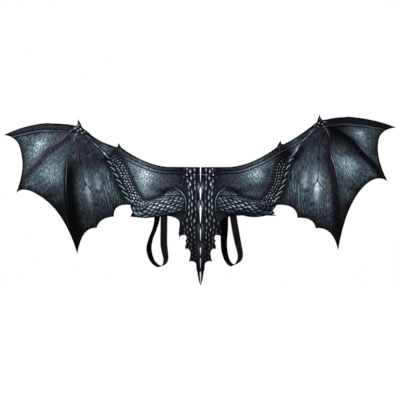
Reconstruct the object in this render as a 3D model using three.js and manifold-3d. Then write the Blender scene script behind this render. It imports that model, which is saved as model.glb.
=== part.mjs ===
// Costume wings: one cut sheet of printed cloth, a casing tape behind its top edge, two arm loops.
// Millimetres, +Z up. The printed front faces -Y and the wearer's back is on the +Y side.
// The origin is on the back face of the cloth, in the middle of the back panel.
import * as THREE from 'three';
import { mergeVertices } from 'three/addons/utils/BufferGeometryUtils.js';
import Module from 'manifold-3d';

const wasm = await Module();
wasm.setup();

// Driving sizes
const clothThick = 1.5;
const clothCell = 26; // spacing of the folds grid in the cloth
const curveSteps = 8; // straight steps in each curved stretch of an edge
const sewnGap = 0.3; // between pieces that are sewn face to face
const tapeWidth = 20;
const tapeThick = 1;
const tapeSteps = 56;
const elasticWidth = 25;
const elasticThick = 1.2;
const elasticSteps = 84;
const elasticStrips = 3; // across its width, so that it twists evenly

// Fold sizes: how far the cloth leaves the plane of the back panel, toward the front
const panelHalfWidth = 180; // the back panel, against the wearer, stays flat
const tipReach = 700; // from the middle to a wing tip
const tipSweep = 70; // how far the tips come forward
const flutePeak = 15; // depth of a flute between two fingers, at the free edge
const fluteReach = 420; // wrist to free edge
const pocketPeak = 7; // slack of the cloth between body and forearm

const table = (columns, rows) =>
  rows.map((row) => Object.fromEntries(columns.map((column, i) => [column, row[i]])));

// The cut edge, from the tail point up to the middle of the top, one half at a time.
// Each row ends a stretch: bow is how far it curves into the cloth (minus: out of it),
// lean is where along the stretch the curve peaks. A row without them ends a straight stretch.
const edgeColumns = ['x', 'z', 'bow', 'lean'];

const tailEdge = table(edgeColumns, [
  [0, -342],
  [6.5, -324],
  [10.5, -304],
  [12, -291],
  [14.5, -286.5],
  [16, -266],
  [24, -256.5, 2, 0.3],
  [42.5, -258, 3, 0.6],
  [36, -226, 1, 0.5],
  [45, -209.5, 2, 0.5],
  [53, -212],
  [56, -203],
  [51, -190],
  [54.5, -182],
  [49.5, -173],
  [53, -161.5],
  [66.5, -161.5],
  [76, -169],
  [78.5, -156],
  [74.5, -119.5],
]);

const rightEdge = table(edgeColumns, [
  [121.5, -92.5, 9, 0.25], // hip
  [152, -91.5],
  [236, -91.5, -6, 0.45], // under the upper arm
  [274, -92.5],
  [258, -86],
  [268, -83.5],
  [258, -74.5],
  [273, -53.5], // elbow
  [346.5, -99.5, 21, 0.67],
  [411, -136.5, 16, 0.69],
  [491.5, -217, 25, 0.35], // third finger tip
  [586.5, 16, 19, 0.66],
  [668, 30.5, 16.5, 0.62], // second finger tip
  [635, 173.5, 11.5, 0.62],
  [698, 223, 15.5, 0.38], // first finger tip
  [527.5, 262.5, -7, 0.45],
  [436.5, 250.5],
  [426, 271, 2.5, 0.5], // wrist spike
  [418.5, 253],
  [416, 243.5],
  [300.5, 163.5, 3, 0.5],
  [289.5, 165],
  [286, 177.5], // forearm spike
  [277, 162.5],
  [273, 153.5],
  [107.5, 82.5, 12.5, 0.57],
  [0, 82],
]);

const leftEdge = table(edgeColumns, [
  [-118, -93, 9, 0.25], // hip
  [-196.5, -101],
  [-251.5, -95.5],
  [-242.5, -78.5],
  [-250.5, -53.5, -2, 0.7], // elbow
  [-309.5, -95, 20.5, 0.65],
  [-371, -135.5, 12.7, 0.63],
  [-440, -229, 23, 0.24], // third finger tip
  [-588, -13, 26.5, 0.62],
  [-658.5, -10.5, 12.5, 0.68], // second finger tip
  [-639.5, 127, 10.5, 0.61],
  [-702, 196, 19, 0.56], // first finger tip
  [-547, 239.5, -8, 0.5],
  [-442, 229.5],
  [-439.5, 254, 2, 0.5], // wrist spike
  [-424, 226, -2, 0.5],
  [-305.5, 153, 8.5, 0.5],
  [-296.5, 155],
  [-293, 168.5], // forearm spike
  [-282.5, 151.5],
  [-121.5, 83, 11.5, 0.57],
  [0, 82],
]);

// Fingers fan out from each wrist; the last ray is the forearm, to the elbow.
const rayColumns = ['x', 'z'];
const wings = [
  {
    wrist: { x: 427, z: 247 },
    rays: table(rayColumns, [[698, 223], [668, 30.5], [491.5, -217], [273, -53.5]]),
  },
  {
    wrist: { x: -434, z: 225 },
    rays: table(rayColumns, [[-702, 196], [-658.5, -10.5], [-440, -229], [-250.5, -53.5]]),
  },
];
const pockets = table(['x', 'z', 'halfWidth', 'halfHeight'], [
  [235, 50, 70, 60],
  [-235, 45, 70, 60],
]);

// Middle line of the casing tape, 12 mm inside the top edge, from one wing to the other
const tapeLine = table(['x', 'z'], [
  [-647, 206],
  [-546.5, 227.5],
  [-436, 217],
  [-375.5, 172],
  [-299.5, 141.5],
  [-205.5, 93.5],
  [-123, 71],
  [0, 70],
  [108, 70.5],
  [192.5, 92],
  [291, 149],
  [369, 191],
  [430, 236],
  [527.5, 250.5],
  [647, 227.5],
]);

// Arm loops, from the end sewn under the casing, down the back, round the hanging loop and up to
// the end sewn above the lower edge. turn is the heading of the elastic's width, 0 across the back,
// and rise is how steeply the width climbs that way: it lies level in a row without it.
const stationColumns = ['x', 'y', 'z', 'turn', 'rise'];
const onCloth = sewnGap + elasticThick / 2;

const leftLoop = table(stationColumns, [
  [-130, onCloth, 57, 0],
  [-130, onCloth, -20, 0],
  [-130.5, onCloth, -93, 0],
  [-131, 2, -143, 0],
  [-131, 5, -196, 8],
  [-127, 9, -224, 30],
  [-123.7, 14, -247, 46],
  [-129, 21, -265, 56, 0.15],
  [-145, 28, -274, 60, 0.22],
  [-163, 37, -264, 54, 0.15],
  [-175.5, 44, -247, 44],
  [-184.5, 48, -211, 42],
  [-178, 42, -175, 52],
  [-165, 32, -142, 52],
  [-157, 21, -114, 44],
  [-154.5, 11.5, -92, 38],
  [-157, 2.6, -66, 6],
  [-157, onCloth, -42, 0],
]);

const rightLoop = table(stationColumns, [
  [87, onCloth, 57, 0],
  [87, onCloth, -20, 0],
  [87, onCloth, -93, 0],
  [86, 2, -143, -6],
  [83.5, 6, -182, -24],
  [85.2, 11, -214, -28],
  [92, 17, -243, -38],
  [102, 24, -261, -50, 0.2],
  [114, 30, -270, -58, 0.3],
  [130, 39, -262, -55, 0.2],
  [140.5, 44, -247, -48],
  [142.3, 45, -230, -40],
  [133.5, 36, -187, -20],
  [125, 24, -143, -4],
  [118.5, 13, -104, 0],
  [114.5, 3, -74, 0],
  [114, onCloth, -48, 0],
]);

// Solids for cutting: positions only, with shared corners merged
function toSolid(geometry) {
  geometry.deleteAttribute('normal');
  geometry.deleteAttribute('uv');
  const merged = mergeVertices(geometry);
  const vertProperties = new Float32Array(merged.attributes.position.array);
  const triVerts = new Uint32Array(merged.index.array);
  return new wasm.Manifold(new wasm.Mesh({ numProp: 3, vertProperties, triVerts }));
}

function toGeometry(solid) {
  const { vertProperties, triVerts } = solid.getMesh();
  const geometry = new THREE.BufferGeometry();
  geometry.setAttribute('position', new THREE.BufferAttribute(vertProperties, 3));
  geometry.setIndex(new THREE.BufferAttribute(triVerts, 1));
  geometry.computeVertexNormals();
  return geometry;
}

function moveVertices(geometry, move) {
  const position = geometry.attributes.position;
  const point = new THREE.Vector3();
  for (let i = 0; i < position.count; i++) {
    move(point.fromBufferAttribute(position, i));
    position.setXYZ(i, point.x, point.y, point.z);
  }
  return geometry;
}

// How far the cloth comes forward of the back panel at a place in the wings
function foldDepth(x, z) {
  const away = Math.max(0, Math.abs(x) - panelHalfWidth);
  const sweep = tipSweep * (away / (tipReach - panelHalfWidth)) ** 2;
  const wing = wings.find(({ wrist }) => wrist.x * x > 0);
  const loosening = THREE.MathUtils.smoothstep(away, 0, panelHalfWidth / 2);
  return sweep + (wing ? flute(wing, x, z) * loosening : 0) + pocket(x, z) * loosening;
}

function flute({ wrist, rays }, x, z) {
  const fall = (point) => Math.atan2(wrist.z - point.z, Math.sign(wrist.x) * (point.x - wrist.x));
  const here = fall({ x, z });
  const turns = rays.map(fall);
  const panel = turns.findIndex((turn, i) => here >= turn && here < turns[i + 1]);
  if (panel < 0) return 0;
  const across = (here - turns[panel]) / (turns[panel + 1] - turns[panel]);
  const reach = Math.hypot(x - wrist.x, z - wrist.z) / fluteReach;
  return flutePeak * Math.min(reach, 1) * Math.sin(Math.PI * across) ** 2;
}

function pocket(x, z) {
  return pockets.reduce((depth, { x: px, z: pz, halfWidth, halfHeight }) => {
    const distance = Math.hypot((x - px) / halfWidth, (z - pz) / halfHeight);
    return depth + pocketPeak * Math.max(0, 1 - distance ** 2) ** 2;
  }, 0);
}

// A folded layer of cloth as wide as the wings, its back face a given distance behind the panel
function foldedLayer(thick, back) {
  const width = 2 * tipReach + 2 * clothCell;
  const heights = [...tailEdge, ...rightEdge, ...leftEdge].map(({ z }) => z);
  const [low, high] = [Math.min(...heights) - clothCell, Math.max(...heights) + clothCell];
  const columns = Math.round(width / clothCell);
  const rows = Math.round((high - low) / clothCell);
  const layer = new THREE.BoxGeometry(width, thick, high - low, columns, 1, rows);
  layer.translate(0, back - thick / 2, (low + high) / 2);
  return moveVertices(layer, (point) => {
    point.y -= foldDepth(point.x, point.z);
  });
}

// Everything inside an outline drawn in the plane of the back panel
function through(shape) {
  const depth = 4 * tipSweep; // well past the folds on both sides
  const prism = new THREE.ExtrudeGeometry(shape, { depth, bevelEnabled: false, curveSegments: curveSteps });
  prism.rotateX(Math.PI / 2);
  return prism.translate(0, depth / 2, 0);
}

function drawStretch(shape, from, to, bow, lean) {
  if (!bow) {
    shape.lineTo(to.x, to.z);
    return;
  }
  const [dx, dz] = [to.x - from.x, to.z - from.z];
  const peak = (2 * bow) / Math.hypot(dx, dz);
  shape.quadraticCurveTo(from.x + lean * dx - peak * dz, from.z + lean * dz + peak * dx, to.x, to.z);
}

function cutOutline() {
  const right = [...tailEdge, ...rightEdge];
  const left = [...tailEdge.map((row) => ({ ...row, x: -row.x })), ...leftEdge];
  const shape = new THREE.Shape();
  shape.moveTo(right[0].x, right[0].z);
  for (let i = 1; i < right.length; i++) {
    drawStretch(shape, right[i - 1], right[i], right[i].bow, right[i].lean);
  }
  for (let i = left.length - 1; i > 0; i--) {
    drawStretch(shape, left[i], left[i - 1], left[i].bow, 1 - left[i].lean);
  }
  return shape;
}

function tapeOutline() {
  const line = new THREE.SplineCurve(tapeLine.map(({ x, z }) => new THREE.Vector2(x, z)));
  const side = (along, offset) => {
    const tangent = line.getTangentAt(along);
    return line.getPointAt(along).add(new THREE.Vector2(-tangent.y, tangent.x).multiplyScalar(offset));
  };
  const stations = Array.from({ length: tapeSteps + 1 }, (_, i) => i / tapeSteps);
  const upper = stations.map((along) => side(along, tapeWidth / 2));
  const lower = stations.map((along) => side(along, -tapeWidth / 2));
  return new THREE.Shape([...lower, ...upper.reverse()]);
}

function wingSheet() {
  return toGeometry(toSolid(foldedLayer(clothThick, 0)).intersect(toSolid(through(cutOutline()))));
}

// The tape takes up the folds of the cloth that it is sewn to
function topCasing() {
  const tapeBack = sewnGap + tapeThick;
  const layer = toSolid(foldedLayer(clothThick + tapeBack, tapeBack));
  const clothAndGap = toSolid(foldedLayer(2 * clothThick + sewnGap, sewnGap));
  return toGeometry(layer.intersect(toSolid(through(tapeOutline()))).subtract(clothAndGap));
}

// A flat elastic band laid along its stations, its width turned to each heading
function armLoop(stations) {
  const path = new THREE.CatmullRomCurve3(stations.map(({ x, y, z }) => new THREE.Vector3(x, y, z)));
  const between = (along, column) => {
    const place = path.getUtoTmapping(along) * (stations.length - 1);
    const i = Math.min(Math.floor(place), stations.length - 2);
    return THREE.MathUtils.lerp(stations[i][column] ?? 0, stations[i + 1][column] ?? 0, place - i);
  };
  const band = new THREE.BoxGeometry(elasticWidth, elasticThick, 1, elasticStrips, 1, elasticSteps);
  return moveVertices(band, (point) => {
    const along = point.z + 0.5;
    const tangent = path.getTangentAt(along);
    const turn = THREE.MathUtils.degToRad(between(along, 'turn'));
    const across = new THREE.Vector3(Math.cos(turn), Math.sin(turn), between(along, 'rise'));
    across.addScaledVector(tangent, -across.dot(tangent)).normalize();
    const face = new THREE.Vector3().crossVectors(tangent, across);
    const { x, y } = point;
    point.copy(path.getPointAt(along)).addScaledVector(across, x).addScaledVector(face, y);
  });
}

function piece(name, geometry, color, roughness) {
  const material = new THREE.MeshStandardMaterial({ color, roughness, metalness: 0 });
  const mesh = new THREE.Mesh(geometry, material);
  mesh.name = name;
  return mesh;
}

const group = new THREE.Group();
group.add(
  piece('wing_sheet', wingSheet(), 0x2b343a, 0.8),
  piece('top_casing', topCasing(), 0x121216, 0.85),
  piece('arm_strap_left', armLoop(leftLoop), 0x0e0e10, 0.7),
  piece('arm_strap_right', armLoop(rightLoop), 0x0e0e10, 0.7),
);

export default group;
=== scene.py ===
# Costume wings: one cut sheet of printed cloth, a casing tape sewn behind its top edge and two arm loops.
# The printed front faces -Y and the wearer's back is on the +Y side.
import math

import bmesh
import bpy
import numpy as np
from mathutils import Matrix, Vector, noise
from mathutils.bvhtree import BVHTree


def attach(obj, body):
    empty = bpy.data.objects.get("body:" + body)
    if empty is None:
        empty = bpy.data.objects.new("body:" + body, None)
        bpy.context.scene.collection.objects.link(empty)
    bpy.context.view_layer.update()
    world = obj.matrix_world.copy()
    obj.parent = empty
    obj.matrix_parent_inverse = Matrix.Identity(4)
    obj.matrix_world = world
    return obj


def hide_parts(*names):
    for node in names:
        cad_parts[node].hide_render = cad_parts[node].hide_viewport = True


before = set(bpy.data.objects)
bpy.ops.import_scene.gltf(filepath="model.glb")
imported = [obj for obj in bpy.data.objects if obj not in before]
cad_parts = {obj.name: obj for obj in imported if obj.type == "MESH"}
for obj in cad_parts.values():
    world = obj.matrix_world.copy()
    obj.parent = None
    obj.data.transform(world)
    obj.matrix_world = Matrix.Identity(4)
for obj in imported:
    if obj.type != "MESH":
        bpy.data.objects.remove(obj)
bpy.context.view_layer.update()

mm = 0.001
weldGap = 0.01 * mm
flatAngle = math.radians(0.5)  # faces that differ by less count as one flat face


# Meshes: helpers for every piece

def copyOfNode(nodeName):
    bm = bmesh.new()
    bm.from_mesh(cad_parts[nodeName].data)
    bmesh.ops.remove_doubles(bm, verts=bm.verts, dist=weldGap)
    bm.normal_update()
    return bm


def toMesh(name, bm):
    mesh = bpy.data.meshes.new(name)
    bm.to_mesh(mesh)
    bm.free()
    return mesh


def addPiece(mesh, materials, replaced=None):
    name = mesh.name
    mesh.shade_smooth()
    for material in materials:
        mesh.materials.append(material)
    piece = bpy.data.objects.new(name, mesh)
    bpy.context.scene.collection.objects.link(piece)
    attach(piece, "root")
    if replaced:
        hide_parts(replaced)
    print("made", name, "with", len(mesh.polygons), "faces")
    return piece


def addField(piece, name, values):  # a number, or a vector, for each vertex
    kind, key = ("FLOAT_VECTOR", "vector") if np.ndim(values) == 2 else ("FLOAT", "value")
    layer = piece.data.attributes.new(name, kind, "POINT")
    layer.data.foreach_set(key, np.ascontiguousarray(values, np.float32).ravel())


def edgeLoop(bm):  # the outline of a flat piece, walked once round with the cloth on the left
    edge = next(e for e in bm.edges if e.is_boundary)
    start, vert = edge.verts
    walk = [start]
    while vert is not start:
        walk.append(vert)
        edge = next(e for e in vert.link_edges if e.is_boundary and e is not edge)
        vert = edge.other_vert(vert)
    points = np.array([(v.co.x, v.co.z) for v in walk])
    x, z = points.T
    turning = (x * np.roll(z, -1) - z * np.roll(x, -1)).sum()
    return points if turning > 0 else points[::-1]


def flatCloth(nodeName, facing, cell):  # one face of a node as an even flat mesh, with the depths it had
    bm = copyOfNode(nodeName)
    hidden = [f for f in bm.faces if f.normal.y * facing < 0.5]
    bmesh.ops.delete(bm, geom=hidden, context="FACES")
    depths = BVHTree.FromBMesh(bm)
    bmesh.ops.scale(bm, vec=(1, 0, 1), verts=bm.verts)
    bmesh.ops.dissolve_limit(bm, angle_limit=flatAngle, verts=bm.verts, edges=bm.edges)
    outline = edgeLoop(bm)
    for column, normal in ((1, Vector((0, 0, 1))), (0, Vector((1, 0, 0)))):
        first = math.ceil(outline[:, column].min() / cell)
        last = math.floor(outline[:, column].max() / cell)
        for step in range(first, last + 1):
            everything = bm.verts[:] + bm.edges[:] + bm.faces[:]
            bmesh.ops.bisect_plane(bm, geom=everything, dist=weldGap,
                                   plane_co=normal * step * cell, plane_no=normal)
    return bm, depths, outline


def depthAt(surface, x, z, side=-1):  # seen from the front, or with side 1 from the back
    place = surface.ray_cast(Vector((x, side, z)), Vector((0, -side, 0)))[0]
    return (place or surface.find_nearest(Vector((x, 0, z)))[0]).y


# Lines in the plane of the cloth, as rows of points

def smoothLine(points, steps=8):  # a soft curve through every point
    p = np.array(points, float)
    p = np.vstack([2 * p[0] - p[1], p, 2 * p[-1] - p[-2]])
    t = np.linspace(0, 1, steps, endpoint=False)[:, None]
    bends = []
    for a, b, c, d in zip(p, p[1:], p[2:], p[3:]):
        bends.append(b + 0.5 * t * (c - a + t * (2 * a - 5 * b + 4 * c - d + t * (3 * b - a - 3 * c + d))))
    return np.vstack(bends + [p[-2:-1]])


def walkedAlong(line):  # the way from the start to each point
    return np.concatenate([[0], np.cumsum(np.hypot(*np.diff(line, axis=0).T))])


def nearLine(line, at):  # signed distance, minus on the right hand, and the share of the way along
    near = np.full(len(at), np.inf)
    side = np.ones(len(at))
    along = np.zeros(len(at))
    walked = 0.0
    for start, end in zip(line, line[1:]):
        length = np.hypot(*(end - start))
        heading = (end - start) / length
        reach = at - start
        step = np.clip(reach @ heading, 0, length)
        gap = np.hypot(*(reach - step[:, None] * heading).T)
        closer = gap < near
        near[closer] = gap[closer]
        side[closer] = (heading[0] * reach[:, 1] - heading[1] * reach[:, 0])[closer]
        along[closer] = walked + step[closer]
        walked += length
    return np.copysign(near, side), along / walked


def carriedOn(line, length):  # a line with a straight run added at both ends
    ends = []
    for end, before in ((line[0], line[3]), (line[-1], line[-4])):
        ends.append(end + (end - before) * length / np.hypot(*(end - before)))
    return np.vstack([ends[0], line, ends[1]])


def inFrom(outline, at):  # how far inside a closed outline, minus outside it
    closed = np.vstack([outline, outline[:1]])
    gap = np.abs(nearLine(closed, at)[0])
    inside = np.zeros(len(at), bool)
    for (x0, z0), (x1, z1) in zip(closed, closed[1:]):
        if z0 != z1:
            crosses = (z0 > at[:, 1]) != (z1 > at[:, 1])
            inside ^= crosses & (at[:, 0] < x0 + (at[:, 1] - z0) * (x1 - x0) / (z1 - z0))
    return np.where(inside, gap, -gap)


def ease(low, high, value):  # 0 below low, 1 above high, soft between
    t = np.clip((value - low) / (high - low), 0, 1)
    return t * t * (3 - 2 * t)


# Materials: helpers

def toLinear(hexColour):
    channels = [int(hexColour[i:i + 2], 16) / 255 for i in (1, 3, 5)]
    return [c / 12.92 if c <= 0.04045 else ((c + 0.055) / 1.055) ** 2.4 for c in channels] + [1]


def newMaterial(name):
    material = bpy.data.materials.new(name)
    material.use_nodes = True
    return material, material.node_tree.nodes["Principled BSDF"]


def addNode(shader, kind, settings=None, inputs=()):  # inputs: by socket, or a list in the sockets' order
    tree = shader.id_data
    node = tree.nodes.new("ShaderNode" + kind)
    for name, value in (settings or {}).items():
        setattr(node, name, value)
    for socket, value in inputs.items() if isinstance(inputs, dict) else enumerate(inputs):
        if isinstance(value, bpy.types.Node):
            value = value.outputs[0]
        if isinstance(value, bpy.types.NodeSocket):
            tree.links.new(value, node.inputs[socket])
        else:
            node.inputs[socket].default_value = value
    return node


def setShader(shader, **values):
    for name, value in values.items():
        socket = shader.inputs[name.replace("_", " ")]
        if isinstance(value, bpy.types.NodeSocket):
            shader.id_data.links.new(value, socket)
        else:
            socket.default_value = value


# The print: a dragon's wing seen from behind, painted for the left half and laid mirrored on the right.
# Places are (out, up) in millimetres: out from the middle of the back, up from the origin.

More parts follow.
